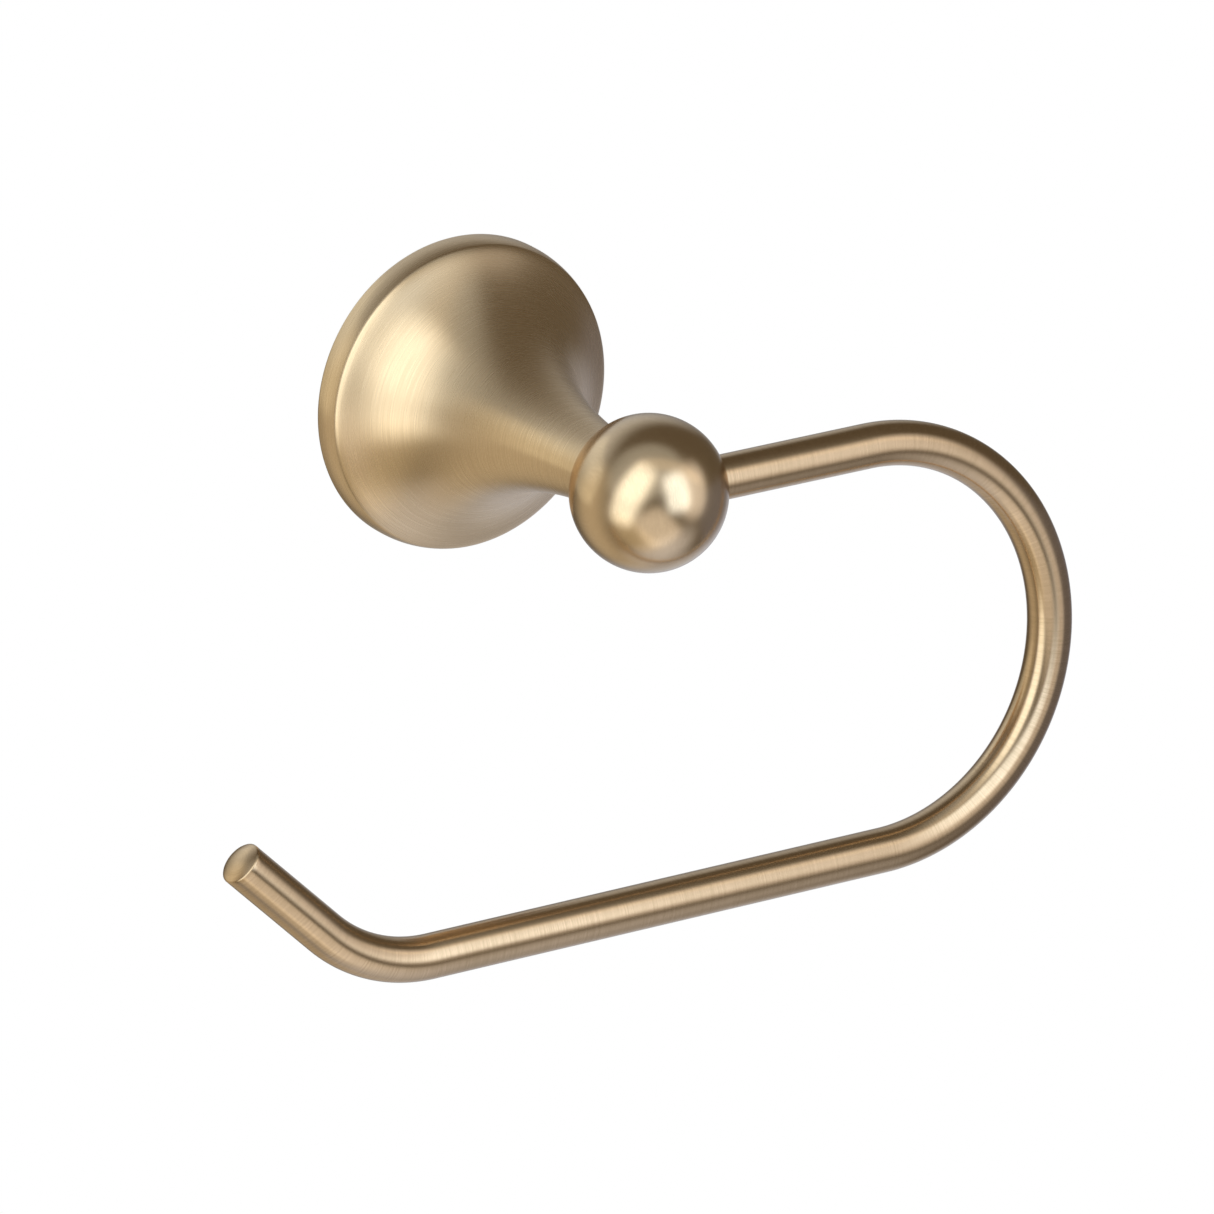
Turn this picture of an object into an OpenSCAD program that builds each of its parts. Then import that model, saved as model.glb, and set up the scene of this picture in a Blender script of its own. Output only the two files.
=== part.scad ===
// Wall-mounted toilet paper holder with one post. A bent rod leaves a ball at the end of a
// trumpet-shaped post, turns back under it and carries the roll. The post slides over a
// bracket on the wall and is held there by a screw under its rim.
//
// Millimetres. The origin is the centre of the post's back face, on the wall. -Y points
// away from the wall, +X along the arm as it leaves the ball, +Z up.

/* [Arm] */
// Diameter of the bent rod
rod_d = 9.5; // [8:0.5:11]
// Straight length from the ball's centre to the return bend
arm_out = 53.5; // [45:0.5:65]
// Centreline radius of the return bend
return_r = 44; // [40:0.5:55]
// Straight length of the bar that carries the roll
bar_len = 111; // [105:0.5:125]
// Centreline radius of the bend that turns the end up
tip_bend_r = 35; // [25:0.5:40]
// Angle that the end turns up by, in degrees
tip_turn = 45; // [30:1:60]
// Straight length of the upturned end
tip_len = 26.5; // [15:0.5:35]
// Height of the crown on the end face
tip_crown = 1.2; // [0.6:0.1:2]
// Lean of the arm, which brings the bar forward of the ball, in degrees
arm_lean = 4.5; // [0:0.5:6]

/* [Post] */
// Distance from the wall to the ball's centre
post_reach = 75.5; // [72:0.5:80]
// Diameter of the ball
ball_d = 33; // [32:0.5:36]
// Diameter of the post's rim on the wall
rim_d = 68; // [66:0.5:72]
// Height at which the rim's side and face would meet in a sharp corner
rim_band = 5; // [4.6:0.1:5.4]
// Height of the straight part of the rim's side
rim_flat = 1.5; // [1:0.1:2]
// Radius with which the rim's side rounds inwards above its straight part
rim_crown_r = 12; // [10:0.5:14]
// Radius of the edge between the rim's side and its face
rim_edge_r = 1.6; // [1.2:0.1:2]
// Slope of the trumpet's face at the rim, measured from the post's axis
face_slope = 45; // [40:1:50]
// Diameter of the neck where it meets the ball
neck_d = 15.7; // [15:0.1:17]
// Taper of the neck where it meets the ball, in degrees
neck_taper = 3; // [1:0.5:5]
// Thickness of the trumpet's wall
shell_t = 2.6; // [2:0.1:3]

/* [Wall bracket] */
// Diameter of the bracket's front edge
bracket_d = 48; // [46:0.5:50]
// Thickness of the bracket
bracket_t = 5; // [4.5:0.5:6]
// Distance between the two wall screws
wall_screw_pitch = 26; // [22:0.5:28]
// Diameter of the holes for the wall screws
wall_hole_d = 4.8; // [4:0.1:5.5]

/* [Fasteners] */
// Diameter of the screw that holds the ball on the post
post_screw_d = 6; // [5:1:6]
// Length of that screw under its head
post_screw_len = 25; // [22:1:26]
// Diameter of the two grub screws
grub_d = 4; // [3:1:4]

/* [Hidden] */

brass = [0.76, 0.63, 0.42];
brass_edge = [0.70, 0.57, 0.37];
zinc = [0.72, 0.73, 0.75];
black_steel = [0.20, 0.20, 0.21];

$fn = 96;
fit = 0.05;          // radial play between pieces that are screwed together
through = 1;         // how far a cutting shape runs past the face that it opens

rod_r = rod_d / 2;
ball_r = ball_d / 2;
rim_r = rim_d / 2;
neck_r = neck_d / 2;

// The trumpet's outline is one cubic curve from the rim's edge to the neck
face_pull = 4.3;     // how long the curve keeps the face's slope
neck_pull = 45;      // how long the curve keeps the neck's taper
curve_steps = 48;
edge_steps = 8;
neck_end = post_reach - sqrt(ball_r * ball_r - neck_r * neck_r);
// The side's crown turns until its edge's arc ends on the face's line
crown_c = [rim_flat, rim_r - rim_crown_r];
face_dist = rim_crown_r * cos(face_slope) + (rim_band - rim_flat) * sin(face_slope);
crown_turn = face_slope - acos(min(1, (face_dist - rim_edge_r) / (rim_crown_r - rim_edge_r)));
edge_c = crown_c + (rim_crown_r - rim_edge_r) * [sin(crown_turn), cos(crown_turn)];
face_start = edge_c + rim_edge_r * [sin(face_slope), cos(face_slope)];
neck_stop = [neck_end, neck_r];
face_ctrl = face_start + face_pull * [cos(face_slope), -sin(face_slope)];
neck_ctrl = neck_stop - neck_pull * [cos(neck_taper), -sin(neck_taper)];

// The hollow behind the trumpet and the seat for the screw's washers
cavity_r = rim_r - 3;
seat_r = 7;
seat_h = 46;
rib_count = 6;
rib_t = 2;
boss_w = 9;
rib_h = [0.6, 8];
rib_gap = 0.3;       // play between the ribs and the bracket's edge

// The socket in the ball for the arm
socket_floor = 5;
arm_root = 5.3;
rod_flat = 0.5;      // depth of the flat that the grub screw bears on

// The screw through the neck
screw_r = post_screw_d / 2;
head_r = 0.83 * post_screw_d;
head_h = post_screw_d;
flat_washer = [6.25, 1.2];   // outer radius, thickness
lock_washer = [5.1, 1.6];    // outer radius, thickness
lock_gap = 1.2;
screw_seat = seat_h - flat_washer[1] - lock_washer[1];
screw_tip = screw_seat + post_screw_len;

// Grub screws
grub_r = grub_d / 2;
grub_point_r = 0.8;
grub_point_h = 1.2;
arm_grub_x = 10;
arm_grub_len = 8;
rim_grub_h = 2.9;
rim_grub_len = 9;

// Wall bracket
bracket_r = bracket_d / 2;
bevel = [2.5, 4];            // the edge narrows by the first over the second
bracket_edge_r = 0.4;
csk_r = 4.5;
csk_h = 2.4;
hub_r = 7;                   // lightening recess in the middle of the front
hub_depth = 1.5;

// Turns what stands on the wall outwards: local +Z becomes -Y
module off_wall() {
    rotate([90, 0, 0]) children();
}

function bezier(t) =
    pow(1 - t, 3) * face_start + 3 * pow(1 - t, 2) * t * face_ctrl
    + 3 * (1 - t) * t * t * neck_ctrl + pow(t, 3) * neck_stop;

function bezier_way(t) =
    3 * pow(1 - t, 2) * (face_ctrl - face_start) + 6 * (1 - t) * t * (neck_ctrl - face_ctrl)
    + 3 * t * t * (neck_stop - neck_ctrl);

// A point of the trumpet's curve as [radius, height], moved inwards by depth
function trumpet_point(t, depth) =
    let (p = bezier(t), w = bezier_way(t), n = [-w[1], w[0]] / norm(w))
    [p[1] - depth * n[1], p[0] - depth * n[0]];

module trumpet_solid() {
    side = [for (i = [0 : edge_steps])
        let (a = crown_turn * i / edge_steps)
        [crown_c[1] + rim_crown_r * cos(a), crown_c[0] + rim_crown_r * sin(a)]];
    edge = [for (i = [1 : edge_steps])
        let (a = crown_turn + (face_slope - crown_turn) * i / edge_steps)
        [edge_c[1] + rim_edge_r * cos(a), edge_c[0] + rim_edge_r * sin(a)]];
    face = [for (i = [1 : curve_steps]) trumpet_point(i / curve_steps, 0)];
    rotate_extrude()
        polygon(concat([[0, 0], [rim_r, 0]], side, edge, face,
            [[neck_r, neck_end + through], [0, neck_end + through]]));
}

module trumpet_hollow() {
    inner = [for (i = [0 : curve_steps])
        let (p = trumpet_point(i / curve_steps, shell_t))
        if (p[1] < seat_h - through) [min(p[0], cavity_r), p[1]]];
    rotate_extrude()
        polygon(concat([[0, -through], [cavity_r, -through]], inner,
            [[seat_r, seat_h - through], [seat_r, seat_h], [0, seat_h]]));
}

// Ribs that centre the post on the bracket. The lowest one is the boss for the grub screw.
module trumpet_ribs() {
    inner_r = bracket_r + rib_gap;
    for (i = [0 : rib_count - 1]) {
        w = i == 0 ? boss_w : rib_t;
        rotate([0, 0, -90 + i * 360 / rib_count])
            translate([inner_r, -w / 2, rib_h[0]])
                cube([rim_r - inner_r - 1, w, rib_h[1] - rib_h[0]]);
    }
}

module post_flange() {
    color(brass)
    off_wall()
    difference() {
        trumpet_solid();
        difference() {
            trumpet_hollow();
            trumpet_ribs();
        }
        cylinder(r = screw_r + fit, h = post_reach);
        translate([0, 0, post_reach]) sphere(r = ball_r + fit);
        translate([0, -bracket_r, rim_grub_h])
            rotate([90, 0, 0]) cylinder(r = grub_r + fit, h = rim_r);
    }
}

module post_ball() {
    screw_hole = screw_tip + 1.8;
    color(brass)
    difference() {
        translate([0, -post_reach, 0]) sphere(r = ball_r);
        translate([socket_floor, -post_reach, 0])
            rotate([0, 90, 0]) cylinder(r = rod_r + fit, h = ball_r);
        off_wall() cylinder(r = screw_r + fit, h = screw_hole);
        translate([arm_grub_x, -post_reach, -ball_r - through])
            cylinder(r = grub_r + fit, h = ball_r + through - rod_r / 2);
    }
}

// A straight stretch of rod along +X from the current place, turned so that its seam lies
// on the bends' outer side
module rod(len) {
    rotate([0, 90, 0]) rotate([0, 0, 180]) cylinder(r = rod_r, h = len);
}

// A bend of the rod that starts heading +X and turns down, towards -Z
module rod_bend(r, turn) {
    translate([0, 0, -r])
        rotate([90, 0, 0])
            rotate([0, 0, 90 - turn])
                rotate_extrude(angle = turn) translate([r, 0]) circle(r = rod_r);
}

// What follows a bend, drawn as if it started here along +X
module after_bend(r, turn) {
    translate([0, 0, -r]) rotate([0, turn, 0]) translate([0, 0, r]) children();
}

// The crowned end of the rod, along +X
module rod_end(len) {
    crown_r = (rod_r * rod_r + tip_crown * tip_crown) / (2 * tip_crown);
    crown_a = asin(rod_r / crown_r);
    crown = [for (i = [0 : edge_steps])
        let (a = crown_a * (1 - i / edge_steps))
        [crown_r * sin(a), len + tip_crown - crown_r * (1 - cos(a))]];
    rotate([0, 90, 0])
        rotate_extrude() polygon(concat([[0, 0], [rod_r, 0]], crown));
}

module hook_arm() {
    color(brass_edge)
    translate([0, -post_reach, 0])
    difference() {
        rotate([-arm_lean, 0, 0]) {
            translate([arm_root, 0, 0]) rod(arm_out - arm_root);
            translate([arm_out, 0, 0]) {
                rod_bend(return_r, 180);
                after_bend(return_r, 180) {
                    rod(bar_len);
                    translate([bar_len, 0, 0]) {
                        rod_bend(tip_bend_r, tip_turn);
                        after_bend(tip_bend_r, tip_turn) rod_end(tip_len);
                    }
                }
            }
        }
        translate([0, -rod_d, -rod_d - rod_r + rod_flat])
            cube([arm_grub_x + grub_d, 2 * rod_d, rod_d]);
    }
}

// Hexagonal recess for a key, cut down from the current place
module key_socket(across_flats, depth) {
    translate([0, 0, -depth])
        cylinder(d = across_flats / cos(30), h = depth + through, $fn = 6);
}

module post_screw() {
    color(zinc)
    off_wall()
    difference() {
        union() {
            translate([0, 0, screw_seat]) cylinder(r = screw_r, h = post_screw_len - 1);
            translate([0, 0, screw_tip - 1]) cylinder(r1 = screw_r, r2 = screw_r - 0.8, h = 1);
            translate([0, 0, screw_seat - head_h]) cylinder(r = head_r, h = head_h);
        }
        translate([0, 0, screw_seat - head_h]) mirror([0, 0, 1])
            key_socket(0.83 * post_screw_d, head_h / 2);
    }
}

module post_flat_washer() {
    color(zinc)
    off_wall()
    translate([0, 0, seat_h - flat_washer[1]])
    difference() {
        cylinder(r = flat_washer[0], h = flat_washer[1]);
        translate([0, 0, -through]) cylinder(r = screw_r + 0.2, h = flat_washer[1] + 2 * through);
    }
}

module post_lock_washer() {
    color(zinc)
    off_wall()
    translate([0, 0, screw_seat])
    difference() {
        cylinder(r = lock_washer[0], h = lock_washer[1]);
        translate([0, 0, -through]) cylinder(r = screw_r + 0.1, h = lock_washer[1] + 2 * through);
        rotate([20, 0, 0]) translate([0, -lock_gap / 2, -3]) cube([lock_washer[0] * 2, lock_gap, 8]);
    }
}

// Grub screw along +Z: its point at the bottom and its key socket at the top
module grub_screw(len, socket) {
    difference() {
        union() {
            cylinder(r1 = grub_point_r, r2 = grub_r, h = grub_point_h);
            translate([0, 0, grub_point_h]) cylinder(r = grub_r, h = len - grub_point_h);
        }
        translate([0, 0, len]) key_socket(socket, len / 3);
    }
}

module arm_grub_screw() {
    color(black_steel)
    translate([arm_grub_x, -post_reach, -rod_r + rod_flat - fit])
        rotate([180, 0, 0]) grub_screw(arm_grub_len, grub_r);
}

module flange_grub_screw() {
    color(black_steel)
    translate([0, -rim_grub_h, -bracket_r + 0.15])
        rotate([180, 0, 0]) grub_screw(rim_grub_len, grub_r);
}

module wall_bracket() {
    color(zinc)
    off_wall()
    difference() {
        rotate_extrude()
            polygon([[0, 0], [bracket_r - bevel[0], 0], [bracket_r, bevel[1]],
                [bracket_r, bracket_t - bracket_edge_r],
                [bracket_r - bracket_edge_r, bracket_t], [0, bracket_t]]);
        translate([0, 0, bracket_t - hub_depth]) cylinder(r = hub_r, h = hub_depth + through);
        for (side = [-1, 1])
            translate([0, side * wall_screw_pitch / 2, 0]) {
                translate([0, 0, -through]) cylinder(d = wall_hole_d, h = bracket_t + 2 * through);
                translate([0, 0, bracket_t - csk_h])
                    cylinder(r1 = wall_hole_d / 2, r2 = csk_r, h = csk_h);
                translate([0, 0, bracket_t]) cylinder(r = csk_r, h = through);
            }
    }
}

post_flange();
post_ball();
hook_arm();
post_screw();
post_flat_washer();
post_lock_washer();
arm_grub_screw();
flange_grub_screw();
wall_bracket();
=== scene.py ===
"""Looks for the wall-mounted toilet paper holder: brushed brass post, ball and bent arm."""

import math

import bmesh
import bpy
from mathutils import Matrix, Vector


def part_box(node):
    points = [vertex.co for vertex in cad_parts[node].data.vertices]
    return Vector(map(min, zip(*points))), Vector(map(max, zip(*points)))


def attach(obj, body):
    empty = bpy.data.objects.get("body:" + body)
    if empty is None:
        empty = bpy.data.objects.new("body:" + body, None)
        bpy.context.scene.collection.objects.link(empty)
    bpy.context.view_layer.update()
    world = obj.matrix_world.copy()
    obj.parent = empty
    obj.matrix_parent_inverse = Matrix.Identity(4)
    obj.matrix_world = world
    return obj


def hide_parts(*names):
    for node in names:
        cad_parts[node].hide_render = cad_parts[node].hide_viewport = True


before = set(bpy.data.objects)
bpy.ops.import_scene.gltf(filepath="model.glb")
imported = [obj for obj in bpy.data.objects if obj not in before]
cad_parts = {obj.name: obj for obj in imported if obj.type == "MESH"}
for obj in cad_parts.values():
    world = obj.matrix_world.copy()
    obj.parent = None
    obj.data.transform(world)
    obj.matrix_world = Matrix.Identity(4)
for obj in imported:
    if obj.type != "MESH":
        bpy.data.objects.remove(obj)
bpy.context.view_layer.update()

MM = 0.001
TAU = 2 * math.pi

# ---------------------------------------------------------------- sizes, from the frame and the design

flange_lo, flange_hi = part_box("post_flange")
ball_lo, ball_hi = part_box("post_ball")
rim_r = (flange_hi.z - flange_lo.z) / 2
ball_r = (ball_hi.z - ball_lo.z) / 2
ball_c = Vector((0, ball_lo.y + ball_r, 0))
reach = -ball_c.y

# The arm: a straight, a half turn down, the bar back to the left and the upturned end
rod_r = 4.75 * MM
arm_out = 53.5 * MM
return_r = 44 * MM
bar_len = 111 * MM
tip_bend_r = 35 * MM
tip_turn = math.radians(45)
tip_len = 26.5 * MM
tip_crown = 1.2 * MM
arm_lean = math.radians(4.5)
arm_root = 5.3 * MM

# The rim's side is straight, then crowned, then rounded over to the trumpet's face
rim_band = 5 * MM
rim_flat = 1.5 * MM
rim_crown_r = 12 * MM
rim_edge_r = 1.6 * MM

# The trumpet is one curve from the rim's edge to the neck. A pull is how long it keeps that end's slope
face_slope = math.radians(45)
face_pull = 4.3 * MM
neck_r = 7.85 * MM
neck_taper = math.radians(3)
neck_pull = 45 * MM

# The hollow behind the trumpet, its ribs, and the seat for the screw's washers
shell_t = 2.6 * MM
cavity_r = rim_r - 3 * MM
back_break = 0.3 * MM
seat_r = 7 * MM
seat_h = 46 * MM
seat_depth = 1 * MM
rib_in = 24.3 * MM
rib_out = cavity_r + 0.7 * MM
rib_low = 0.6 * MM
rib_high = 8 * MM
rib_count = 6
rib_t = 2 * MM
boss_w = 9 * MM

# Screws and their holes, and the flat on the arm that its grub screw bears on
fit = 0.05 * MM
grub_r = 2 * MM
rim_grub_h = 2.9 * MM
arm_grub_x = 10 * MM
screw_r = 3 * MM
screw_hole = 70 * MM
socket_floor = 5 * MM
rod_flat = 0.5 * MM
through = 1 * MM

# How finely the round shapes are made. POLE_R is the last ring before a shape closes at a pole
POST_SIDES = 288
BALL_SIDES = 224
ROD_SIDES = 96
HOLE_SIDES = 64
RIM_STEPS = 12
TRUMPET_STEPS = 110
CUP_STEPS = 8
BALL_STEPS = 140
CROWN_STEPS = 22
STRAIGHT_STEP = 1.2 * MM
BEND_STEP = 0.8 * MM
POLE_R = 0.02 * MM


# ---------------------------------------------------------------- camera

CAMERA_AZIMUTH = math.radians(-32.28)
CAMERA_ELEVATION = math.radians(20.44)
CAMERA_DISTANCE = 2.6688
SENSOR_WIDTH = 36
LENS_PER_SENSOR = 10.708
AIM_RIGHT = 8.62 * MM
AIM_UP = 23.39 * MM


def make_camera():
    """Looks at the ball from a distance, with the ball right of and above the middle."""
    sa, ca = math.sin(CAMERA_AZIMUTH), math.cos(CAMERA_AZIMUTH)
    se, ce = math.sin(CAMERA_ELEVATION), math.cos(CAMERA_ELEVATION)
    back = Vector((sa * ce, -ca * ce, se))
    right = Vector((ca, sa, 0))
    up = back.cross(right)
    data = bpy.data.cameras.new("camera")
    data.sensor_width = SENSOR_WIDTH
    data.lens = SENSOR_WIDTH * LENS_PER_SENSOR
    data.clip_start, data.clip_end = 0.05, 50
    camera = bpy.data.objects.new("camera", data)
    bpy.context.scene.collection.objects.link(camera)
    aim = ball_c - right * AIM_RIGHT - up * AIM_UP
    turn = Matrix((right, up, back)).transposed().to_4x4()
    camera.matrix_world = Matrix.Translation(aim + back * CAMERA_DISTANCE) @ turn
    bpy.context.scene.camera = camera


# ---------------------------------------------------------------- mesh helpers


def new_piece(name, bm, material, slot, *nodes):
    """A mesh object from bm that rides on the body and stands for the CAD nodes."""
    mesh = bpy.data.meshes.new(name)
    bm.to_mesh(mesh)
    bm.free()
    mesh.materials.append(material)
    piece = bpy.data.objects.new(name, mesh)
    bpy.context.scene.collection.objects.link(piece)
    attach(piece, "root")
    if nodes:
        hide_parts(*nodes)
    return piece


def lengths_along(points):
    """How far along the line each of its points is."""
    out = [0.0]
    for a, b in zip(points, points[1:]):
        out.append(out[-1] + math.dist(a, b))
    return out


def ring_surface(bm, rings, grains, closed=False):
    """Joins rings of points with quads, and closes both ends unless the last ring meets the first. Each
    point keeps its grain coordinate, and a UV whose U runs round the ring and V along the surface."""
    grain = bm.verts.layers.float_vector.get("grain") or bm.verts.layers.float_vector.new("grain")
    uv = bm.loops.layers.uv.get("brush") or bm.loops.layers.uv.new("brush")
    count = len(rings[0])

    def vertex(p, mark):
        v = bm.verts.new(p)
        v[grain] = mark
        return v

    def face(corners, places):
        made = bm.faces.new(corners)
        made.smooth = True
        for loop, place in zip(made.loops, places):
            loop[uv].uv = place

    verts = [[vertex(p, g) for p, g in zip(*row)] for row in zip(rings, grains)]
    spans = len(rings) if closed else len(rings) - 1
    for i in range(spans):
        low, high = verts[i], verts[(i + 1) % len(rings)]
        step = TAU * max(grains[i][0].xy.length, MM) / count
        v0, v1 = grains[i][0].z, grains[min(i + 1, len(grains) - 1)][0].z
        for k in range(count):
            n = (k + 1) % count
            places = ((step * k, v0), (step * (k + 1), v0), (step * (k + 1), v1), (step * k, v1))
            face((low[k], low[n], high[n], high[k]), places)
    if closed:
        return
    for i in (0, -1):
        r, v = grains[i][0].xy.length, grains[i][0].z
        s = v + (r if i else -r)
        middle = vertex(sum(rings[i], Vector()) / count, Vector((0, 0, s)))
        step = TAU * max(r, MM) / count
        for k in range(count):
            places = ((step * k, v), (step * (k + 1), v), (step * (k + 0.5), s))
            face((verts[i][k], verts[i][(k + 1) % count], middle), places)


def lathe(bm, profile, place, steps, closed=False):
    """Turns profile, a list of (radius, height), round an axis. place(radius, height, angle) gives
    the point."""
    rings, grains = [], []
    angles = [TAU * k / steps for k in range(steps)]
    for (r, h), s in zip(profile, lengths_along(profile)):
        rings.append([place(r, h, a) for a in angles])
        grains.append([Vector((r * math.cos(a), r * math.sin(a), s)) for a in angles])
    ring_surface(bm, rings, grains, closed)


def prism(bm, outline, half, place):
    """A block with the given outline of (radius, height) points. place(radius, height, side) gives the
    point, with side from -half to half."""
    rings = [[place(r, h, side) for r, h in outline] for side in (-half, half)]
    grains = [[Vector((r, h, side)) for r, h in outline] for side in (-half, half)]
    ring_surface(bm, rings, grains)


def off_wall(r, h, a):
    """A point of a shape turned round the post's axis."""
    return Vector((r * math.cos(a), -h, r * math.sin(a)))


def arc(cx, cy, r, start, end, steps):
    """Points (x, y) on an arc, angles in radians from the x axis."""
    turns = [start + (end - start) * i / steps for i in range(steps + 1)]
    return [(cx + r * math.cos(t), cy + r * math.sin(t)) for t in turns]


def combine(piece, operation, tool):
    """Cuts the shape in the mesh tool out of a piece, or joins it on."""
    bmesh.ops.recalc_face_normals(tool, faces=tool.faces)
    mesh = bpy.data.meshes.new("tool")
    tool.to_mesh(mesh)
    tool.free()
    other = bpy.data.objects.new("tool", mesh)
    bpy.context.scene.collection.objects.link(other)
    other.matrix_world = piece.matrix_world
    change = piece.modifiers.new("change", "BOOLEAN")
    change.operation = operation
    change.solver = "EXACT"
    change.object = other
    apply_modifiers(piece)
    bpy.data.objects.remove(other)
    bpy.data.meshes.remove(mesh)


def drill(piece, start, end, radius):
    """Cuts a round hole from start to end."""
    along = (end - start).normalized()
    side = along.orthogonal().normalized()
    cross = along.cross(side)

    def place(r, h, a):
        return start + along * h + side * r * math.cos(a) + cross * r * math.sin(a)

    tool = bmesh.new()
    lathe(tool, [(radius, 0), (radius, (end - start).length)], place, HOLE_SIDES)
    combine(piece, "DIFFERENCE", tool)


def apply_modifiers(piece):
    """Gives a piece the mesh that its modifiers make, and takes them off."""
    graph = bpy.context.evaluated_depsgraph_get()
    made = bpy.data.meshes.new_from_object(piece.evaluated_get(graph))
    old = piece.data
    piece.modifiers.clear()
    piece.data = made
    made.name = old.name
    bpy.data.meshes.remove(old)


# ---------------------------------------------------------------- node helpers


class Nodes:
    """Shorthand for building a node tree."""

    def __init__(self, tree):
        self.tree = tree
        tree.nodes.clear()

    def add(self, kind, inputs=(), **settings):
        node = self.tree.nodes.new(kind)
        for name, value in settings.items():
            setattr(node, name, value)
        for key, value in dict(inputs).items():
            self.feed(node.inputs[key], value)
        return node

    def feed(self, socket, value):
        if isinstance(value, bpy.types.NodeSocket):
            self.tree.links.new(value, socket)
        else:
            socket.default_value = value

    def math(self, operation, *values, clamp=False):
        node = self.tree.nodes.new("ShaderNodeMath")
        node.operation = operation
        node.use_clamp = clamp
        for socket, value in zip(node.inputs, values):
            self.feed(socket, value)
        return node.outputs[0]

    def noise(self, vector, scale, detail=2.0, roughness=0.5, distortion=0.0):
        node = self.add(
            "ShaderNodeTexNoise",
            {"Vector": vector, "Scale": scale, "Detail": detail, "Roughness": roughness,
             "Distortion": distortion},
        )
        return node.outputs["Fac"]

    def spread(self, value, low, high, out_low=0.0, out_high=1.0, smooth=False):
        node = self.add(
            "ShaderNodeMapRange",
            {"Value": value, "From Min": low, "From Max": high, "To Min": out_low, "To Max": out_high},
            interpolation_type="SMOOTHSTEP" if smooth else "LINEAR",
        )
        return node.outputs["Result"]

    def mix(self, factor, a, b):
        node = self.tree.nodes.new("ShaderNodeMix")
        node.data_type = "RGBA"
        for socket, value in zip((node.inputs[0], node.inputs[6], node.inputs[7]), (factor, a, b)):
            self.feed(socket, value)
        return node.outputs[2]

    def stretch(self, vector, scale):
        node = self.add("ShaderNodeMapping", {"Vector": vector, "Scale": scale})
        return node.outputs["Vector"]


def rgb(r, g, b):
    """A solid colour for a socket, in linear values."""
    return (r, g, b, 1.0)


# ---------------------------------------------------------------- metals

POST_LIGHT, POST_DEEP = rgb(0.81, 0.60, 0.375), rgb(0.68, 0.49, 0.29)
BALL_LIGHT, BALL_DEEP = rgb(0.74, 0.545, 0.34), rgb(0.66, 0.48, 0.295)
ROD_LIGHT, ROD_DEEP = rgb(0.70, 0.50, 0.31), rgb(0.54, 0.38, 0.22)

# How much fine brush marks, broad bands and clouds each count in the shade of brushed metal, and how
# dark and deep its few deep cuts are
HAIR_SHARE = 0.6
BAND_SHARE = 0.15
CLOUD_SHARE = 0.25
CLOUDS_PER_METRE = 60.0
CUT_DARKNESS = 0.5
CUT_DEPTH = 0.8


def brushed_metal(name, light, deep, roughness, anisotropy, scratch, length, relief):
    """Metal brushed round its axis. scratch and length are the size of one brush mark across and along
    itself, and relief is the depth of the marks."""
    material = bpy.data.materials.new(name)
    material.use_nodes = True
    n = Nodes(material.node_tree)
    grain = n.add("ShaderNodeAttribute", attribute_name="grain").outputs["Vector"]

    def marks(along, across, detail, rough):
        """Noise drawn out round the axis, so many times as fine as one brush mark each way."""
        fineness = (along / length, along / length, across / scratch)
        return n.noise(n.stretch(grain, fineness), 1.0, detail, rough)

    hair = marks(1, 1, 3.0, 0.7)
    band = marks(0.25, 0.12, 2.0, 0.5)
    deep_cut = n.spread(marks(1.9, 0.45, 1.0, 0.5), 0.73, 0.80)
    cloud = n.noise(grain, CLOUDS_PER_METRE, 3.0, 0.55)
    tone = n.math("MULTIPLY", n.spread(band, 0.3, 0.7), BAND_SHARE)
    tone = n.math("MULTIPLY_ADD", n.spread(hair, 0.35, 0.65), HAIR_SHARE, tone)
    shade = n.math("MULTIPLY_ADD", n.spread(cloud, 0.3, 0.7), CLOUD_SHARE, tone)
    worn = n.math("MULTIPLY_ADD", deep_cut, -CUT_DARKNESS, shade, clamp=True)
    colour = n.mix(worn, deep, light)
    rough = n.spread(shade, 0.2, 0.8, roughness * 1.12, roughness * 0.90)
    height = n.math("MULTIPLY_ADD", deep_cut, -CUT_DEPTH, hair)
    bump = n.add("ShaderNodeBump", {"Height": height, "Strength": 1.0, "Distance": relief})
    tangent = n.add("ShaderNodeTangent", direction_type="UV_MAP", uv_map="brush")
    shader = n.add(
        "ShaderNodeBsdfPrincipled",
        {"Base Color": colour, "Metallic": 1.0, "Roughness": rough, "Anisotropic": anisotropy,
         "Anisotropic Rotation": 0.25, "Normal": bump.outputs[0], "Tangent": tangent.outputs[0]},
    )
    n.add("ShaderNodeOutputMaterial", {"Surface": shader.outputs[0]})
    return material


def hardware_metal(name, light, deep, roughness, grain_size, relief):
    """Plated or blackened steel with a fine cast or rolled texture and rubbed patches."""
    material = bpy.data.materials.new(name)
    material.use_nodes = True
    n = Nodes(material.node_tree)
    place = n.add("ShaderNodeTexCoord").outputs["Object"]
    fine = n.noise(place, 1 / grain_size, 4.0, 0.6)
    patch = n.noise(place, 0.09 / grain_size, 3.0, 0.6)
    rubbed = n.math("MULTIPLY", n.spread(patch, 0.4, 0.62), 0.6)
    colour = n.mix(n.math("MULTIPLY_ADD", fine, 0.4, rubbed), deep, light)
    rough = n.spread(patch, 0.3, 0.7, roughness * 1.25, roughness * 0.8)
    bump = n.add("ShaderNodeBump", {"Height": fine, "Strength": 1.0, "Distance": relief})
    shader = n.add(
        "ShaderNodeBsdfPrincipled",
        {"Base Color": colour, "Metallic": 1.0, "Roughness": rough, "Normal": bump.outputs[0]},
    )
    n.add("ShaderNodeOutputMaterial", {"Surface": shader.outputs[0]})
    return material


# ---------------------------------------------------------------- the post


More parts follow.
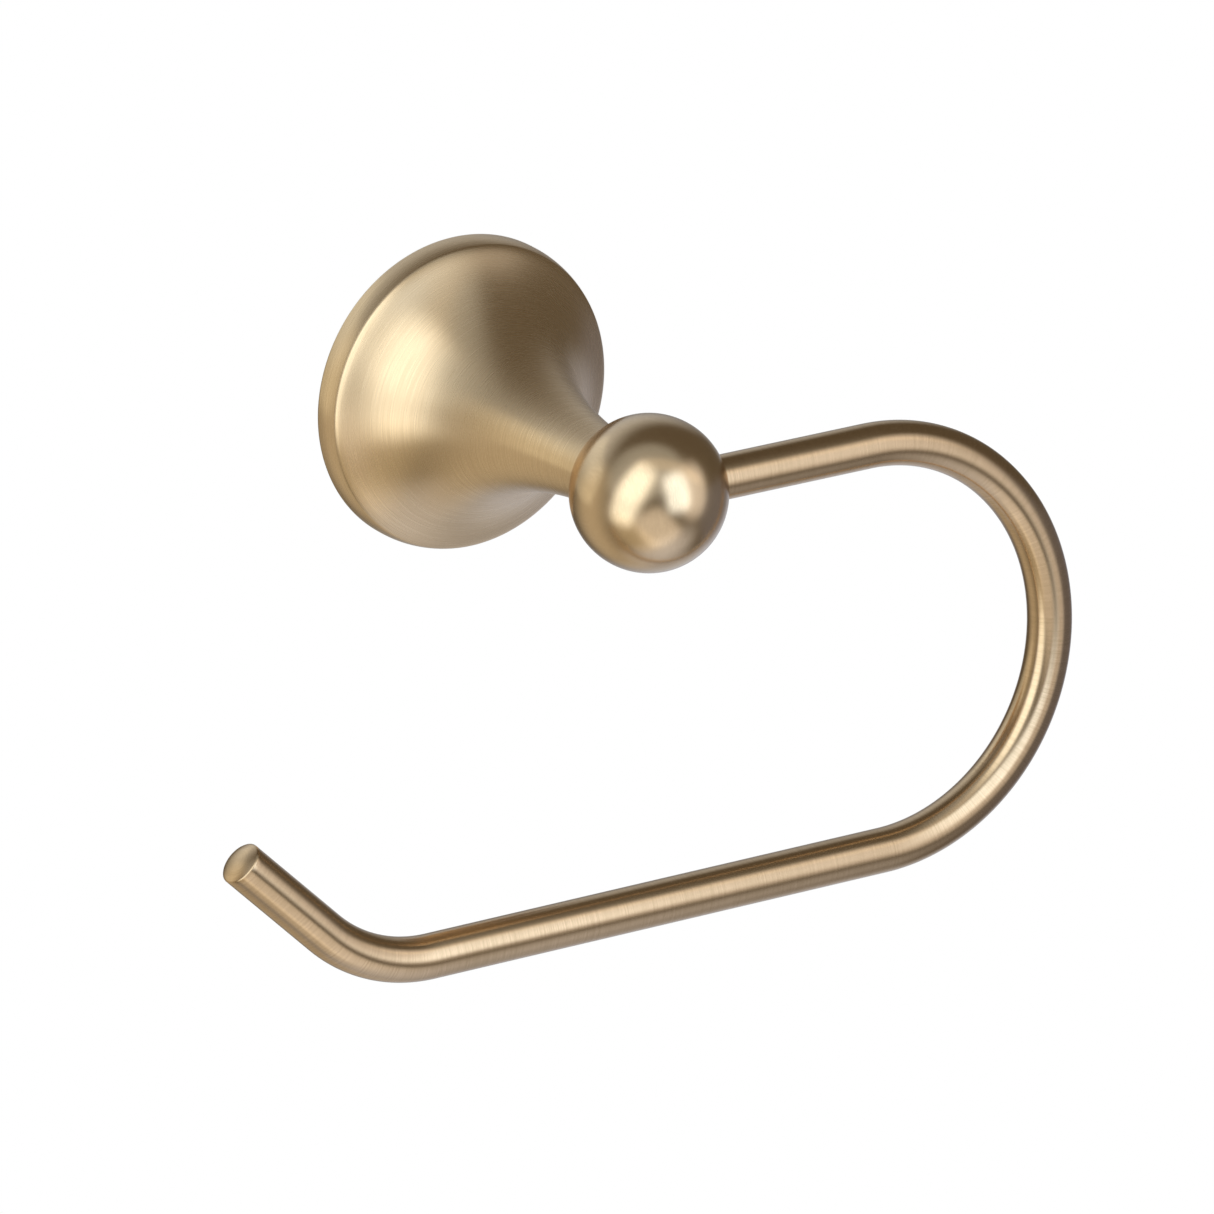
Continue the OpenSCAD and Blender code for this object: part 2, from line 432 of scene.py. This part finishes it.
def rim_line(steps):
    """The rim's rounded side and its edge, as (radius, height) points up to where the face starts."""
    face_dist = rim_crown_r * math.cos(face_slope) + (rim_band - rim_flat) * math.sin(face_slope)
    turn = face_slope - math.acos((face_dist - rim_edge_r) / (rim_crown_r - rim_edge_r))
    crown = Vector((rim_r - rim_crown_r, rim_flat))
    edge = crown + (rim_crown_r - rim_edge_r) * Vector((math.cos(turn), math.sin(turn)))
    side = arc(crown.x, crown.y, rim_crown_r, 0, turn, steps)
    return side + arc(edge.x, edge.y, rim_edge_r, turn, face_slope, steps)[1:]


def trumpet_curve(start, steps):
    """The trumpet's outer line from the rim's edge to the neck, as (point, outward direction)."""
    neck_end = reach - math.sqrt(ball_r**2 - neck_r**2)
    stop = Vector((neck_r, neck_end))
    a = start + face_pull * Vector((-math.sin(face_slope), math.cos(face_slope)))
    b = stop - neck_pull * Vector((-math.sin(neck_taper), math.cos(neck_taper)))
    out = []
    for i in range(steps + 1):
        t = i / steps
        u = 1 - t
        p = u**3 * start + 3 * u * u * t * a + 3 * u * t * t * b + t**3 * stop
        w = 3 * u * u * (a - start) + 6 * u * t * (b - a) + 3 * t * t * (stop - b)
        w.normalize()
        out.append((p, Vector((w.y, -w.x))))
    return out


def post_profile(rim, curve):
    """The post's closed outline: over the rim and the trumpet, into the cup for the ball, and back through
    the screw's bore and the hollow."""
    outer = [(rim_r - back_break, 0.0), (rim_r - back_break / 3, back_break / 5), (rim_r, back_break)]
    outer += [(rim_r, h) for h in (0.7 * MM, 1.1 * MM)] + rim
    outer += [(p.x, p.y) for p, _ in curve[1:]]
    bore = screw_r + fit
    cup = ball_r + fit
    for i in range(1, CUP_STEPS + 1):
        r = neck_r + (bore - neck_r) * i / CUP_STEPS
        outer.append((r, reach - math.sqrt(cup**2 - r**2)))
    inner = [(bore, seat_h), (seat_r, seat_h)]
    wall = [p - normal * shell_t for p, normal in reversed(curve)]
    inner += [(min(q.x, cavity_r), q.y) for q in wall if q.y < seat_h - seat_depth]
    inner += [(cavity_r, back_break), (cavity_r + back_break, 0.0)]
    return outer + inner


def make_ribs(curve):
    """The ribs behind the trumpet. The first, at the bottom, is the wider boss for the grub screw."""
    ribs = bmesh.new()
    middle = [p - normal * shell_t / 2 for p, normal in curve]
    slope = [(min(p.x, rib_out), p.y) for p in middle if rib_low < p.y < rib_high]
    outline = [(rib_in, rib_low), (rib_out, rib_low), *slope]
    outline += [(slope[-1][0], rib_high), (rib_in, rib_high)]
    for i in range(rib_count):
        a = TAU * i / rib_count - TAU / 4
        out = Vector((math.cos(a), 0, math.sin(a)))
        side = Vector((-math.sin(a), 0, math.cos(a)))
        half = (rib_t if i else boss_w) / 2
        prism(ribs, outline, half, lambda r, h, w: out * r + side * w + Vector((0, -h, 0)))
    return ribs


def make_post(material):
    """The trumpet with its rim, hollow behind, its ribs and the hole for the rim's grub screw."""
    rim = rim_line(RIM_STEPS)
    curve = trumpet_curve(Vector(rim[-1]), TRUMPET_STEPS)
    bm = bmesh.new()
    lathe(bm, post_profile(rim, curve), off_wall, POST_SIDES, closed=True)
    bmesh.ops.recalc_face_normals(bm, faces=bm.faces)
    post = new_piece("post_trumpet", bm, material, "brushed_brass", "post_flange")
    combine(post, "UNION", make_ribs(curve))
    below = Vector((0, -rim_grub_h, -rim_r - through))
    inside = Vector((0, -rim_grub_h, -rib_in + through))
    drill(post, below, inside, grub_r + fit)
    post.data.set_sharp_from_angle(angle=math.radians(32))


# ---------------------------------------------------------------- the ball


def make_ball(material):
    """Turned round the arm's axis, with a small bevel where the arm goes in."""
    mouth = rod_r + fit
    bevel = 0.25 * MM
    start = math.asin((mouth + bevel) / ball_r)
    profile = [(mouth, socket_floor), (mouth, ball_r * math.cos(start) - bevel * 0.9)]
    for i in range(BALL_STEPS + 1):
        t = start + (math.pi - start) * i / BALL_STEPS
        profile.append((max(ball_r * math.sin(t), POLE_R), ball_r * math.cos(t)))

    def place(r, h, a):
        return ball_c + Vector((h, r * math.cos(a), r * math.sin(a)))

    bm = bmesh.new()
    lathe(bm, profile, place, BALL_SIDES)
    bmesh.ops.recalc_face_normals(bm, faces=bm.faces)
    ball = new_piece("ball", bm, material, "satin_brass", "post_ball")
    drill(ball, Vector((0, -reach / 2, 0)), Vector((0, -screw_hole, 0)), screw_r + fit)
    below = ball_c + Vector((arm_grub_x, 0, -ball_r - through))
    drill(ball, below, ball_c + Vector((arm_grub_x, 0, -rod_r / 2)), grub_r + fit)
    ball.data.set_sharp_from_angle(angle=math.radians(35))


# ---------------------------------------------------------------- the arm


def arm_path():
    """The arm's centre line in its own plane, as (x, z, heading, length along it)."""
    out = []
    x, z, heading, s = arm_root, 0.0, 0.0, 0.0

    def straight(length):
        nonlocal x, z, s
        count = round(length / STRAIGHT_STEP)
        for _ in range(count):
            out.append((x, z, heading, s))
            x += math.cos(heading) * length / count
            z += math.sin(heading) * length / count
            s += length / count

    def bend(radius, turn):
        nonlocal x, z, s, heading
        count = round(radius * turn / BEND_STEP)
        for _ in range(count):
            out.append((x, z, heading, s))
            cx, cz = x + radius * math.sin(heading), z - radius * math.cos(heading)
            heading -= turn / count
            x, z = cx - radius * math.sin(heading), cz + radius * math.cos(heading)
            s += radius * turn / count

    straight(arm_out - arm_root)
    bend(return_r, math.pi)
    straight(bar_len)
    bend(tip_bend_r, tip_turn)
    straight(tip_len)
    out.append((x, z, heading, s))
    return out


def make_arm(material):
    """The bent rod, flat underneath where the ball's grub screw bears, with a crowned and bevelled end."""
    lean = Matrix.Rotation(-arm_lean, 4, "X")
    path = arm_path()
    root_radii = (rod_r * 0.5, rod_r - 0.5 * MM)
    flat_end = arm_grub_x + 2 * grub_r
    flat_rings = len(root_radii) + sum(1 for x, _, _, s in path if x < flat_end and s < arm_out)
    angles = [TAU * k / ROD_SIDES for k in range(ROD_SIDES)]
    rings, grains = [], []

    def ring(x, z, heading, s, r):
        side = Vector((-math.sin(heading), 0, math.cos(heading)))
        depth = Vector((0, 1, 0))
        centre = Vector((x, 0, z))
        points = [lean @ (centre + side * r * math.cos(a) + depth * r * math.sin(a)) for a in angles]
        if len(rings) < flat_rings:
            for p in points:
                p.z = max(p.z, rod_flat - rod_r)
        rings.append([p + ball_c for p in points])
        grains.append([Vector((r * math.cos(a), r * math.sin(a), s)) for a in angles])

    x, z, heading, _ = path[0]
    for r in root_radii:
        ring(x, z, heading, r - rod_r, r)
    for x, z, heading, s in path[:-1]:
        ring(x, z, heading, s, rod_r)
    x, z, heading, s = path[-1]
    bevel = 0.22 * MM
    crown_r = (rod_r**2 + tip_crown**2) / (2 * tip_crown)
    ahead = Vector((math.cos(heading), math.sin(heading)))
    for back, r in ((bevel, rod_r), (bevel * 0.35, rod_r - bevel * 0.12)):
        ring(x - ahead.x * back, z - ahead.y * back, heading, s - back, r)
    top = math.asin((rod_r - bevel) / crown_r)
    for i in range(CROWN_STEPS + 1):
        t = top * (1 - i / CROWN_STEPS)
        out = tip_crown - crown_r * (1 - math.cos(t))
        r = max(crown_r * math.sin(t), POLE_R)
        ring(x + ahead.x * out, z + ahead.y * out, heading, s + rod_r - r, r)
    bm = bmesh.new()
    ring_surface(bm, rings, grains)
    bmesh.ops.recalc_face_normals(bm, faces=bm.faces)
    arm = new_piece("bent_arm", bm, material, "brushed_rod", "hook_arm")
    arm.data.set_sharp_from_angle(angle=math.radians(35))


# ---------------------------------------------------------------- studio

FLOOR_DROP = 120 * MM
FLOOR_R = 900 * MM


def direction(azimuth, elevation):
    """A unit vector. Azimuth 0 is away from the wall and 90 to the right, in degrees."""
    a, e = math.radians(azimuth), math.radians(elevation)
    return Vector((math.sin(a) * math.cos(e), -math.cos(a) * math.cos(e), math.sin(e)))


# Bounds that keep a panel's sums small for rays that point past it
LEAST_DEPTH = 0.001
FARTHEST_RATIO = 9.0


def soft_panel(n, ray, azimuth, elevation, half_w, half_h, lean, soft, corner):
    """1 inside a far panel and 0 outside. It falls off across its edge, from soft times its half size inside
    it to as far outside. Angles in degrees. A corner of 2 gives an ellipse, and a larger one comes nearer
    a rectangle."""
    front = direction(azimuth, elevation)
    side = Vector((0, 0, 1)).cross(front).normalized()
    up = front.cross(side)
    turn = Matrix.Rotation(math.radians(lean), 3, front)
    side, up = turn @ side, turn @ up

    def along(axis):
        return n.add("ShaderNodeVectorMath", {0: ray, 1: axis}, operation="DOT_PRODUCT").outputs["Value"]

    depth = n.math("MAXIMUM", along(front), LEAST_DEPTH)
    total = 0.0
    for axis, half in ((side, half_w), (up, half_h)):
        out = n.math("ABSOLUTE", n.math("DIVIDE", along(axis), depth))
        ratio = n.math("DIVIDE", out, math.tan(math.radians(half)))
        ratio = n.math("MINIMUM", ratio, FARTHEST_RATIO)
        total = n.math("ADD", n.math("POWER", ratio, corner), total)
    size = n.math("POWER", total, 1 / corner)
    return n.spread(size, 1 - soft, 1 + soft, 1.0, 0.0, smooth=True)


# What the metal reflects, on a dome close round the object. Each light has a colour, then the azimuth
# and elevation of its middle, half its width and height, its lean, all in degrees, then how soft its
# edge is and how square its corners are.
LIGHTS = {
    "left_soft_box": ((1.50, 1.68, 1.82), -60, 18, 18, 41, -21, 0.45, 5),
    "right_soft_box": ((1.52, 1.85, 2.30), 7, 18, 16.5, 24.5, 0, 0.42, 4),
    "right_spill": ((0.78, 0.82, 0.90), 36, 12, 18, 31, -18, 0.5, 3),
    "low_card": ((0.68, 0.70, 0.72), -22, -29, 29, 22, -54, 0.35, 4),
    "low_left_card": ((0.38, 0.35, 0.26), -61, -38, 32, 16, -62, 0.4, 3),
    "table": ((0.60, 0.68, 0.85), 10, -67, 19, 31, -28, 0.98, 2),
    "low_right_card": ((0.06, 0.08, 0.14), 84, -22, 42, 24, -18, 0.25, 3),
    "ceiling": ((0.28, 0.33, 0.38), -44, 51, 51, 37, 28, 0.3, 2),
    "ceiling_edge": ((0.26, 0.23, 0.17), 14, 52, 44, 8, -38, 0.3, 3),
    "backdrop_left": ((0.30, 0.32, 0.29), -143, 15, 31, 23, -9, 0.15, 4),
    "backdrop_far_left": ((0.46, 0.43, 0.35), -126, -26, 24.5, 55, -18, 0.98, 3),
    "backdrop_top": ((0.50, 0.58, 0.68), -176, 32, 44, 20, 8, 0.98, 3),
    "backdrop_right": ((0.46, 0.53, 0.66), 136, -43, 20.5, 35, -10, 0.98, 3),
}
ROOM = (0.135, 0.115, 0.085)
DOME_R = 0.55
DOME_CENTRE = (0.03, -0.06, -0.03)


def make_dome():
    """The studio's light: a dome round the object that glows by its panels. The camera can't see it."""
    bm = bmesh.new()
    bmesh.ops.create_uvsphere(bm, u_segments=96, v_segments=48, radius=DOME_R)
    bmesh.ops.reverse_faces(bm, faces=bm.faces)
    mesh = bpy.data.meshes.new("light_dome")
    bm.to_mesh(mesh)
    bm.free()
    dome = bpy.data.objects.new("light_dome", mesh)
    dome.location = DOME_CENTRE
    dome.visible_camera = False
    dome.visible_shadow = False
    bpy.context.scene.collection.objects.link(dome)
    material = bpy.data.materials.new("studio_light")
    material.use_nodes = True
    material.cycles.emission_sampling = "NONE"
    n = Nodes(material.node_tree)
    place = n.add("ShaderNodeTexCoord").outputs["Object"]
    ray = n.add("ShaderNodeVectorMath", {0: place}, operation="NORMALIZE").outputs[0]
    total = ROOM
    for colour, *shape in LIGHTS.values():
        panel = soft_panel(n, ray, *shape)
        lit = n.add("ShaderNodeVectorMath", {0: colour, 3: panel}, operation="SCALE").outputs[0]
        total = n.add("ShaderNodeVectorMath", {0: total, 1: lit}, operation="ADD").outputs[0]
    glow = n.add("ShaderNodeEmission", {"Color": total, "Strength": 1.0})
    n.add("ShaderNodeOutputMaterial", {"Surface": glow.outputs[0]})
    mesh.materials.append(material)


def make_world():
    """A plain white surround."""
    world = bpy.data.worlds.new("white")
    world.use_nodes = True
    bpy.context.scene.world = world
    n = Nodes(world.node_tree)
    white = n.add("ShaderNodeBackground", {"Color": rgb(1, 1, 1), "Strength": 1.0})
    n.add("ShaderNodeOutputWorld", {"Surface": white.outputs[0]})


def make_stage():
    """A pale round floor under the object. Seen from below it is clear."""
    bm = bmesh.new()
    bmesh.ops.create_circle(bm, cap_ends=True, radius=FLOOR_R, segments=96)
    mesh = bpy.data.meshes.new("floor")
    bm.to_mesh(mesh)
    bm.free()
    floor = bpy.data.objects.new("floor", mesh)
    floor.location = (0, 0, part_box("hook_arm")[0].z - FLOOR_DROP)
    bpy.context.scene.collection.objects.link(floor)
    material = bpy.data.materials.new("pale_floor")
    material.use_nodes = True
    n = Nodes(material.node_tree)
    glow = n.add("ShaderNodeEmission", {"Color": rgb(1, 1, 1), "Strength": 1.0})
    clear = n.add("ShaderNodeBsdfTransparent")
    below = n.add("ShaderNodeNewGeometry").outputs["Backfacing"]
    both = n.add("ShaderNodeMixShader", {0: below, 1: glow.outputs[0], 2: clear.outputs[0]})
    n.add("ShaderNodeOutputMaterial", {"Surface": both.outputs[0]})
    mesh.materials.append(material)
    floor.visible_glossy = False
    floor.visible_diffuse = False


# ---------------------------------------------------------------- build

make_camera()
make_world()
make_dome()
make_stage()
bpy.context.scene.view_settings.view_transform = "Standard"

post_metal = brushed_metal(
    "brushed_brass", POST_LIGHT, POST_DEEP, roughness=0.28, anisotropy=0.55,
    scratch=0.13 * MM, length=16 * MM, relief=0.0016 * MM,
)
ball_metal = brushed_metal(
    "satin_brass", BALL_LIGHT, BALL_DEEP, roughness=0.22, anisotropy=0.1,
    scratch=0.15 * MM, length=1.6 * MM, relief=0.0022 * MM,
)
rod_metal = brushed_metal(
    "brushed_rod", ROD_LIGHT, ROD_DEEP, roughness=0.225, anisotropy=0.65,
    scratch=0.15 * MM, length=9 * MM, relief=0.0013 * MM,
)
make_post(post_metal)
make_ball(ball_metal)
make_arm(rod_metal)

steel = hardware_metal(
    "zinc_steel", rgb(0.68, 0.69, 0.70), rgb(0.46, 0.46, 0.47),
    roughness=0.34, grain_size=0.5 * MM, relief=0.01 * MM,
)
dark = hardware_metal(
    "spring_steel", rgb(0.33, 0.33, 0.35), rgb(0.17, 0.17, 0.18),
    roughness=0.36, grain_size=0.4 * MM, relief=0.01 * MM,
)
black = hardware_metal(
    "black_steel", rgb(0.09, 0.09, 0.10), rgb(0.03, 0.03, 0.03),
    roughness=0.38, grain_size=0.3 * MM, relief=0.01 * MM,
)
zinc = hardware_metal(
    "plated_zinc", rgb(0.66, 0.67, 0.69), rgb(0.42, 0.43, 0.45),
    roughness=0.40, grain_size=0.7 * MM, relief=0.03 * MM,
)
for node, material in {
    "post_screw": steel,
    "post_flat_washer": steel,
    "post_lock_washer": dark,
    "arm_grub_screw": black,
    "flange_grub_screw": black,
    "wall_bracket": zinc,
}.items():
    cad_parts[node].material_slots[0].material = material
